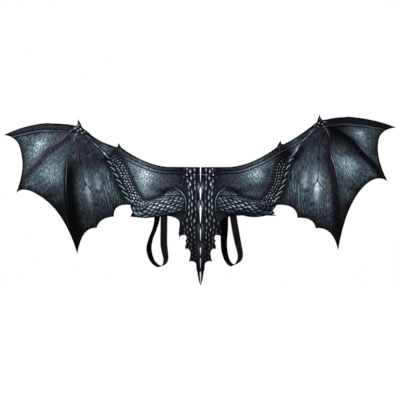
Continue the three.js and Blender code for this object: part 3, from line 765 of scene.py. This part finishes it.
def printedFelt():
    material, shader = newMaterial("printed_felt")
    field = {name: addNode(shader, "Attribute", {"attribute_name": name}).outputs["Fac"] for name in (
        "tone", "rim", "purple", "strand", "sleek", "streakHalf", "streakLight", "streakGap", "casingDrop",
        "casingInk", "casingLight", "lightFar", "lightStrength", "lightGap", "inkFar", "inkLeft",
        "scaleShown", "scaleGround")}
    flow = {name: addNode(shader, "Attribute", {"attribute_name": name}).outputs["Vector"] for name in (
        "grain", "scaleLattice", "scaleShape")}
    soft, blend = {"interpolation_type": "SMOOTHSTEP"}, {"data_type": "FLOAT"}
    times, plus, minus, over = ({"operation": name} for name in ("MULTIPLY", "ADD", "SUBTRACT", "DIVIDE"))
    size, larger, dot = ({"operation": name} for name in ("ABSOLUTE", "MAXIMUM", "DOT_PRODUCT"))
    timesPlus = {"operation": "MULTIPLY_ADD"}

    # skin: short wrinkles that fan out over the open wing, cracks, and long thin strands
    folds = {}
    for name in ("wrinkle", "crackle", "strand"):
        across, along, detail, distortion = feltPrint[name]
        place = addNode(shader, "VectorMath", over, [flow["grain"], (across, along, 1)])
        folds[name] = addNode(shader, "TexNoise", {"noise_dimensions": "2D"}, {
            "Vector": place, "Scale": 1.0, "Detail": detail, "Roughness": 0.5, "Distortion": distortion})
    for name in ("crackle", "strand"):
        level = addNode(shader, "Math", minus, [folds[name], 0.5])
        folds[name] = addNode(shader, "Math", size, [level])
    lit = addNode(shader, "MapRange", None,
                  [folds["wrinkle"], *feltPrint["wrinkleEdge"], *feltPrint["wrinkleLights"]])
    skin = addNode(shader, "Math", times, [field["tone"], lit])
    lit = addNode(shader, "MapRange", soft,
                  [folds["crackle"], *feltPrint["crackleEdge"], *feltPrint["crackleLights"]])
    skin = addNode(shader, "Math", times, [skin, lit])
    skin = addNode(shader, "Mix", blend, {0: field["sleek"], 2: skin, 3: field["tone"]})
    lit = addNode(shader, "MapRange", soft, [folds["strand"], *feltPrint["strandEdge"], field["strand"], 0.0])
    skin = addNode(shader, "Math", plus, [skin, lit])

    # scales: a lozenge in each cell of the slanting lattice, lighter toward one end
    cell = addNode(shader, "TexVoronoi", {"voronoi_dimensions": "2D", "feature": "F1"},
                   {"Vector": flow["scaleLattice"], "Scale": 1.0, "Randomness": feltPrint["scaleShift"]})
    offset = addNode(shader, "VectorMath", minus, [flow["scaleLattice"], cell.outputs["Position"]])
    ahead = addNode(shader, "VectorMath", dot, [offset, (1, 1, 0)]).outputs["Value"]
    aside = addNode(shader, "VectorMath", dot, [offset, (1, -1, 0)]).outputs["Value"]
    place = addNode(shader, "CombineXYZ", None, [ahead, aside])
    place = addNode(shader, "VectorMath", over, [place, flow["scaleShape"]])
    place = addNode(shader, "VectorMath", size, [place])
    oval = addNode(shader, "VectorMath", {"operation": "LENGTH"}, [place]).outputs["Value"]
    lozenge = addNode(shader, "VectorMath", dot, [place, (1, 1, 0)]).outputs["Value"]
    edge = addNode(shader, "Mix", blend, {0: feltPrint["scaleCorners"], 2: oval, 3: lozenge})
    light = addNode(shader, "SeparateXYZ", None, [flow["scaleShape"]]).outputs[2]
    scale = addNode(shader, "MapRange", soft, [edge, *feltPrint["scaleEdge"], light, 0.0])
    lit = addNode(shader, "MapRange", soft, [ahead, -0.5, 0.5, *feltPrint["scaleEnds"]])
    scale = addNode(shader, "Math", times, [scale, lit])
    chance = addNode(shader, "SeparateColor", None, [cell.outputs["Color"]])
    lit = addNode(shader, "MapRange", None, [chance, 0.0, 1.0, *feltPrint["scaleLights"]])
    scale = addNode(shader, "Math", timesPlus, [scale, lit, field["scaleGround"]])
    hide = addNode(shader, "Mix", blend, {0: field["scaleShown"], 2: skin, 3: scale})

    # distances: half widths from a light line and from a crack, millimetres from the casing's three lines
    # and millimetres inside a streak of the spine
    lightFar, inkFar = (addNode(shader, "Math", size, [field[name]]) for name in ("lightFar", "inkFar"))
    casing = []
    for line in (-wingPrint["casingInk"], wingPrint["casingInk"], 0):
        away = addNode(shader, "Math", minus, [field["casingDrop"], line])
        casing.append(addNode(shader, "Math", size, [away]))
    place = addNode(shader, "TexCoord").outputs["Object"]
    sideways = addNode(shader, "SeparateXYZ", None, [place])
    aside = addNode(shader, "Math", size, [sideways])
    inside = addNode(shader, "Math", timesPlus, [aside, -1 / mm, field["streakHalf"]])

    # layers over skin and scales: distance, where it starts and ends, light there, how it is laid on
    layers = [
        (lightFar, wingPrint["gapEdge"], field["lightGap"], 1.0, times),
        (lightFar, wingPrint["strokeEdge"], field["lightStrength"], 0.0, larger),
        (inkFar, wingPrint["strokeEdge"], field["inkLeft"], 1.0, times),
        (casing[0], wingPrint["casingInkEdge"], field["casingInk"], 1.0, times),
        (casing[1], wingPrint["casingInkEdge"], field["casingInk"], 1.0, times),
        (casing[2], wingPrint["casingLightEdge"], field["casingLight"], 0.0, larger),
        (field["rim"], wingPrint["edgeInk"], 0.0, 1.0, times),
        (inside, wingPrint["streakGapEdge"], 1.0, field["streakGap"], times),
        (inside, wingPrint["streakEdge"], 0.0, field["streakLight"], larger),
    ]
    for far, edge, near, away, laid in layers:
        layer = addNode(shader, "MapRange", soft, [far, *edge, near, away])
        hide = addNode(shader, "Math", laid, [hide, layer])

    inks = []
    for name in ("skin", "purpleSkin"):
        ramp = addNode(shader, "ValToRGB", None, [hide])
        stops = ramp.color_ramp.elements
        while len(stops) < len(feltPrint[name]):
            stops.new(0.5)
        for stop, share, colour in zip(stops, feltPrint["lights"], feltPrint[name]):
            stop.position = share
            stop.color = toLinear(colour)
        inks.append(ramp)
    dyed = addNode(shader, "Mix", {"data_type": "RGBA"}, {0: field["purple"], 6: inks[0], 7: inks[1]})
    nap = addNode(shader, "TexNoise", None,
                  {"Vector": place, "Scale": 1 / (feltPrint["nap"] * mm), "Detail": 3.0})
    bump = addNode(shader, "Bump", None, {"Strength": 0.25, "Distance": feltPrint["napDepth"], "Height": nap})
    setShader(shader, Base_Color=dyed.outputs[2], Roughness=feltPrint["roughness"],
              Specular_IOR_Level=feltPrint["specular"], Normal=bump.outputs[0])
    return material


# Black needled felt: the unprinted back and the cut edges, fuzzy, with greyer fibres on top: a painted
# highlight on the high fuzz and painted shade deep down, by the same noise as its bump.
blackFeltLook = {
    "fibres": [(0.3, "#101012"), (0.75, "#3a3a40")],  # noise and colour, deep down and on top
    "tuft": 6.0,  # millimetres; coarser than real tufts so that they show
    "fuzz": 0.5 * mm,
    "roughness": 0.95,
}


def blackFelt():
    material, shader = newMaterial("black_felt")
    place = addNode(shader, "TexCoord").outputs["Object"]
    fibres = addNode(shader, "TexNoise", None, {"Vector": place, "Scale": 1 / (blackFeltLook["tuft"] * mm),
                                                "Detail": 6.0, "Roughness": 0.7, "Distortion": 1.0})
    # the colour follows the bump's height: painted shade deep down, painted highlight on top
    tint = addNode(shader, "ValToRGB", None, [fibres])
    for stop, (share, colour) in zip(tint.color_ramp.elements, blackFeltLook["fibres"]):
        stop.position = share
        stop.color = toLinear(colour)
    bump = addNode(shader, "Bump", None,
                   {"Strength": 0.6, "Distance": blackFeltLook["fuzz"], "Height": fibres})
    setShader(shader, Base_Color=tint.outputs[0], Roughness=blackFeltLook["roughness"],
              Specular_IOR_Level=0.1, Normal=bump.outputs[0])
    return material


# The wing sheet

wingCloth = {
    "cell": 3.2 * mm,
    "thick": 1.5 * mm,
    "easePasses": 40,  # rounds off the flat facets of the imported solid
    "panel": 0.18,  # half width of the part that lies flat on the back
    "ripple": 1.6 * mm,
    "rippleLength": 0.11,
}


def makeWingSheet(materials):
    bm, depths, outline = flatCloth("wing_sheet", -1, wingCloth["cell"])
    for v in bm.verts:
        v.co.y = depthAt(depths, v.co.x, v.co.z)
    for _ in range(wingCloth["easePasses"]):
        bmesh.ops.smooth_vert(bm, verts=bm.verts, factor=0.5, use_axis_y=True)
    for v in bm.verts:
        loose = float(ease(wingCloth["panel"], 2 * wingCloth["panel"], abs(v.co.x)))
        place = Vector((v.co.x, 0, v.co.z)) / wingCloth["rippleLength"]
        v.co.y += loose * wingCloth["ripple"] * noise.noise(place)
    surface = BVHTree.FromBMesh(bm)
    piece = addPiece(toMesh("wing_cloth", bm), materials, "wing_sheet")
    wall = piece.modifiers.new("wall", "SOLIDIFY")
    wall.thickness = wingCloth["thick"]
    wall.offset = -1
    wall.material_offset = 1
    wall.material_offset_rim = 1
    return piece, surface, outline


# The casing tape, sewn behind the top edge

casingTape = {
    "cell": 5 * mm,
    "thick": 1.0 * mm,
    "gap": 0.3 * mm,  # between tape and cloth
    "herringbone": 5.0,  # millimetres, width of one row of twill
    "thread": 1.8,  # real threads are 0.4 mm; drawn coarse enough to show
    "threadDepth": 0.3 * mm,
    # painted shade in the dips between the threads, and painted highlight on their crowns
    "deep": "#08080a",
    "litCrown": "#2c2c31",
}


def tapeEdges(outline):  # the lower edge from left to right, then the upper one back
    leftEnd, rightEnd = outline[:, 0].argmin(), outline[:, 0].argmax()
    walk = np.roll(outline, -leftEnd, axis=0)  # the outermost points are both upper corners
    turn = (rightEnd - leftEnd) % len(walk)
    return walk[1:turn], walk[turn:]


def makeCasingTape(wingFront, material):
    bm, _, outline = flatCloth("top_casing", 1, casingTape["cell"])
    for v in bm.verts:
        v.co.y = depthAt(wingFront, v.co.x, v.co.z) + wingCloth["thick"] + casingTape["gap"]
    places = np.array([v.co for v in bm.verts])[:, ::2]
    piece = addPiece(toMesh("casing_tape", bm), [material], "top_casing")
    lower = tapeEdges(outline)[0]
    rise, along = nearLine(lower, places)
    addField(piece, "ribbon", np.c_[rise, along * walkedAlong(lower)[-1], np.zeros(len(rise))] / mm)
    wall = piece.modifiers.new("wall", "SOLIDIFY")
    wall.thickness = casingTape["thick"]
    wall.offset = 1
    return piece, outline


# Black cotton twill tape: matt herringbone rows, with painted shade in the dips between the threads and
# painted highlight on their crowns.
def cottonTwill():
    material, shader = newMaterial("cotton_twill_tape")
    ribbon = addNode(shader, "Attribute", {"attribute_name": "ribbon"}).outputs["Vector"]
    across, along, _ = addNode(shader, "SeparateXYZ", None, [ribbon]).outputs
    zigzag = addNode(shader, "Math", {"operation": "PINGPONG"}, [across, casingTape["herringbone"]])
    slant = addNode(shader, "Math", {"operation": "ADD"}, [along, zigzag])
    turns = addNode(shader, "Math", {"operation": "MULTIPLY"}, [slant, 2 * math.pi / casingTape["thread"]])
    threads = addNode(shader, "Math", {"operation": "SINE"}, [turns])
    # colour by the height of the threads: painted shade low, painted highlight high
    tint = addNode(shader, "Mix", {"data_type": "RGBA"},
                   {0: threads, 6: toLinear(casingTape["deep"]), 7: toLinear(casingTape["litCrown"])})
    bump = addNode(shader, "Bump", None,
                   {"Strength": 0.6, "Distance": casingTape["threadDepth"], "Height": threads})
    setShader(shader, Base_Color=tint.outputs[2], Roughness=0.85, Specular_IOR_Level=0.15,
              Normal=bump.outputs[0])
    return material


# The arm loops

armElastic = {
    "softening": 2,  # rounds of subdivision
    "crease": 1.0,  # keeps the selvedges square
    "selvedge": math.radians(60),  # an edge that turns by more is a selvedge
    "rib": 3.1,  # millimetres from rib to rib; the real 1.5 mm is drawn coarser so that it shows
    "weft": 2.2,  # from cross thread to cross thread, drawn coarser as well
    "relief": (0.6, 0.12, 0),  # how high ribs and cross threads stand
    "reliefMost": 0.75,  # the height that counts as a full crown
    "ribDepth": 0.4 * mm,
    "faces": [("#0f0f0f", "#1a1a1b"), ("#000000", "#030303")],  # deep and crown of its two faces: painted shade in the dips and painted highlight on the crowns, the first face a lit, greyer copy of the black, the second a shaded copy
}


def makeArmLoop(nodeName, pieceName, material, turned):  # turned: the face painted in shade, instead of the face painted lit, is sewn to the front
    bm = copyOfNode(nodeName)
    bmesh.ops.join_triangles(bm, faces=bm.faces, angle_face_threshold=math.pi, angle_shape_threshold=math.pi)
    crease = bm.edges.layers.float.new("crease_edge")
    for e in bm.edges:
        if e.calc_face_angle(0) > armElastic["selvedge"]:
            e[crease] = armElastic["crease"]

    # the elastic's own place of each vertex: millimetres across and along, then 0 on the front face, painted
    # lit, to 1 on the back face, painted in shade
    ribbon = bm.verts.layers.float_vector.new("ribbon")
    top = max(v.co.z for v in bm.verts)
    ring = [v for v in bm.verts if v.co.z > top - weldGap]
    middles = [sum((v.co for v in ring), Vector()) / len(ring)]
    across = {v: (v.co.x - middles[0].x, float((v.co.y > middles[0].y) != turned)) for v in ring}
    walked = 0.0
    while ring:
        ahead = []
        for v in ring:
            v[ribbon] = (across[v][0] / mm, walked / mm, across[v][1])
            for other in [e.other_vert(v) for e in v.link_edges]:
                if other not in across:
                    across[other] = across[v]
                    ahead.append(other)
        if ahead:
            middles.append(sum((v.co for v in ahead), Vector()) / len(ahead))
            walked += (middles[-1] - middles[-2]).length
        ring = ahead
    surface = BVHTree.FromBMesh(bm)
    piece = addPiece(toMesh(pieceName, bm), [material], nodeName)
    soft = piece.modifiers.new("soft", "SUBSURF")
    soft.levels = soft.render_levels = armElastic["softening"]
    print(pieceName, "is", round(walked / mm), "mm of elastic")
    return surface, (middles[0], middles[-1])


# Black woven elastic: ribs along its length, closed by fine cross threads, with a dull sheen; its colour has
# painted shade in the dips and painted highlight on the crowns, and a lit grey face and a shaded black one.
def wovenElastic():
    material, shader = newMaterial("woven_elastic")
    ribbon = addNode(shader, "Attribute", {"attribute_name": "ribbon"}).outputs["Vector"]
    turns = (2 * math.pi / armElastic["rib"], 2 * math.pi / armElastic["weft"], 0)
    turned = addNode(shader, "VectorMath", {"operation": "MULTIPLY"}, [ribbon, turns])
    waves = addNode(shader, "VectorMath", {"operation": "SINE"}, [turned])
    weave = addNode(shader, "VectorMath", {"operation": "DOT_PRODUCT"}, [waves, armElastic["relief"]])
    most = armElastic["reliefMost"]
    height = addNode(shader, "MapRange", None, [weave.outputs["Value"], -most, most])
    mixed = {"data_type": "RGBA"}
    faces = []
    # each face: painted shade in the dips of the weave, painted highlight on its crowns
    for deep, litCrown in armElastic["faces"]:
        tint = addNode(shader, "Mix", mixed, {0: height, 6: toLinear(deep), 7: toLinear(litCrown)})
        faces.append(tint.outputs[2])
    # which face: the lit, greyer copy of the colour, or the copy painted in shade
    shadedFace = addNode(shader, "SeparateXYZ", None, [ribbon]).outputs[2]
    dyed = addNode(shader, "Mix", mixed, {0: shadedFace, 6: faces[0], 7: faces[1]})
    bump = addNode(shader, "Bump", None,
                   {"Strength": 0.4, "Distance": armElastic["ribDepth"], "Height": height})
    setShader(shader, Base_Color=dyed.outputs[2], Roughness=0.8, Specular_IOR_Level=0.02,
              Normal=bump.outputs[0])
    return material


# The stitches: two rows through tape and cloth, and a crossed box at each end of the elastic

stitching = {
    "length": 3.2 * mm,
    "pitch": 4.2 * mm,
    "thread": 0.7 * mm,  # thicker than the real 0.3 mm so that it shows
    "inset": 2.0 * mm,  # from the edge of the tape
    "box": (19 * mm, 14 * mm),
    "boxInset": 3 * mm,  # from the end of the elastic
    "deep": "#0c0c0d",
    "light": "#34343a",
}


def stitchRow(line, depthOf):  # place and turn of each stitch along a line of (x, z)
    steps = np.diff(line, axis=0)
    walked = walkedAlong(line)
    count = max(2, round(walked[-1] / stitching["pitch"]))
    centres = (np.arange(count) + 0.5) / count * walked[-1]
    leg = np.searchsorted(walked, centres) - 1
    x, z = (np.interp(centres, walked, line[:, column]) for column in (0, 1))
    y = [depthOf(*place) for place in zip(x, z)]
    return np.c_[x, y, z, np.arctan2(steps[leg, 1], steps[leg, 0])]


def makeStitches(wingFront, tapeOutline, loops, material):
    tapeBack = wingCloth["thick"] + casingTape["gap"] + casingTape["thick"]
    rows = []
    for edge in tapeEdges(tapeOutline):
        heading = np.gradient(edge, axis=0)
        heading /= np.hypot(*heading.T)[:, None]
        row = edge + stitching["inset"] * np.c_[-heading[:, 1], heading[:, 0]]
        row = row[2:-2]  # clear of the tape's ends
        rows.append(stitchRow(row, lambda x, z: depthAt(wingFront, x, z)))
        rows.append(stitchRow(row, lambda x, z: depthAt(wingFront, x, z) + tapeBack))
    wide, high = stitching["box"]
    for surface, ends in loops:
        for end in ends:
            top = end.z - stitching["boxInset"]
            left, right = end.x - wide / 2, end.x + wide / 2
            corners = [(left, top), (right, top), (right, top - high), (left, top - high)]
            for a, b in ((0, 1), (1, 2), (2, 3), (3, 0), (0, 2), (1, 3)):
                row = np.array([corners[a], corners[b]])
                rows.append(stitchRow(row, lambda x, z: depthAt(surface, x, z, 1)))

    bm = bmesh.new()
    size = Matrix.Diagonal((stitching["length"], stitching["thread"], stitching["thread"], 1))
    for x, y, z, turn in np.vstack(rows):
        place = Matrix.Translation((x, y, z)) @ Matrix.Rotation(-turn, 4, "Y")
        bmesh.ops.create_icosphere(bm, subdivisions=1, radius=0.5, matrix=place @ size)
    return addPiece(toMesh("stitches", bm), [material])


# Black polyester sewing thread: smooth, with a small gloss along the twist.
def sewingThread():
    material, shader = newMaterial("sewing_thread")
    place = addNode(shader, "TexCoord").outputs["Object"]
    ply = addNode(shader, "TexNoise", None,
                  {"Vector": place, "Scale": 1 / stitching["thread"], "Detail": 1.0})
    tint = addNode(shader, "Mix", {"data_type": "RGBA"},
                   {0: ply, 6: toLinear(stitching["deep"]), 7: toLinear(stitching["light"])})
    setShader(shader, Base_Color=tint.outputs[2], Roughness=0.5, Specular_IOR_Level=0.3)
    return material


# Studio

studio = {
    "framePixels": 400,
    "pixel": 3.575 * mm,  # size of a pixel at the cloth
    "middle": (-1.8 * mm, -35.75 * mm),  # what the camera looks at: across, up
    "distance": 40.0,
    "sensor": 36.0,
    "floorHeight": -0.52,
    "floorSize": 40.0,
    "paper": "#fbfbfb",
    "softBox": {"size": 2.0, "watts": 20, "place": (-1.6, -2.4, 2.0)},
    "topLight": {"strength": 0.4, "spread": math.radians(60)},
}


def makeStudio():
    bm = bmesh.new()
    bmesh.ops.create_grid(bm, x_segments=2, y_segments=2, size=studio["floorSize"] / 2)
    bmesh.ops.translate(bm, vec=(0, 0, studio["floorHeight"]), verts=bm.verts)
    mesh = toMesh("paper_floor", bm)
    floor = bpy.data.objects.new("paper_floor", mesh)
    bpy.context.scene.collection.objects.link(floor)
    material, shader = newMaterial("white_paper")
    setShader(shader, Base_Color=toLinear(studio["paper"]), Roughness=0.95, Specular_IOR_Level=0.1)
    mesh.materials.append(material)

    world = bpy.data.worlds.new("white_room")
    world.use_nodes = True
    air = world.node_tree.nodes["Background"]
    air.inputs["Color"].default_value = (1, 1, 1, 1)
    air.inputs["Strength"].default_value = 1.0
    bpy.context.scene.world = world

    lamp = bpy.data.lights.new("soft_box", "AREA")
    lamp.shape = "DISK"
    lamp.size = studio["softBox"]["size"]
    lamp.energy = studio["softBox"]["watts"]
    soft = bpy.data.objects.new("soft_box", lamp)
    soft.location = studio["softBox"]["place"]
    soft.rotation_euler = (-Vector(soft.location)).to_track_quat("-Z", "Y").to_euler()
    bpy.context.scene.collection.objects.link(soft)

    sky = bpy.data.lights.new("top_light", "SUN")
    sky.energy = studio["topLight"]["strength"]
    sky.angle = studio["topLight"]["spread"]
    above = bpy.data.objects.new("top_light", sky)
    bpy.context.scene.collection.objects.link(above)

    lens = bpy.data.cameras.new("camera")
    lens.sensor_width = studio["sensor"]
    lens.lens = studio["sensor"] * studio["distance"] / (studio["framePixels"] * studio["pixel"])
    lens.clip_end = 4 * studio["distance"]
    camera = bpy.data.objects.new("camera", lens)
    camera.location = (studio["middle"][0], -studio["distance"], studio["middle"][1])
    camera.rotation_euler = (math.pi / 2, 0, 0)
    bpy.context.scene.collection.objects.link(camera)
    bpy.context.scene.camera = camera
    bpy.context.scene.view_settings.view_transform = "Standard"
    print("studio ready")


wing, wingFront, wingOutline = makeWingSheet([printedFelt(), blackFelt()])
tape, tapeOutline = makeCasingTape(wingFront, cottonTwill())
paintPrint(wing, wingOutline, tapeEdges(tapeOutline)[0])
elastic = wovenElastic()
loops = [makeArmLoop("arm_strap_left", "left_arm_loop", elastic, False),
         makeArmLoop("arm_strap_right", "right_arm_loop", elastic, True)]
stitches = makeStitches(wingFront, tapeOutline, loops, sewingThread())
makeStudio()
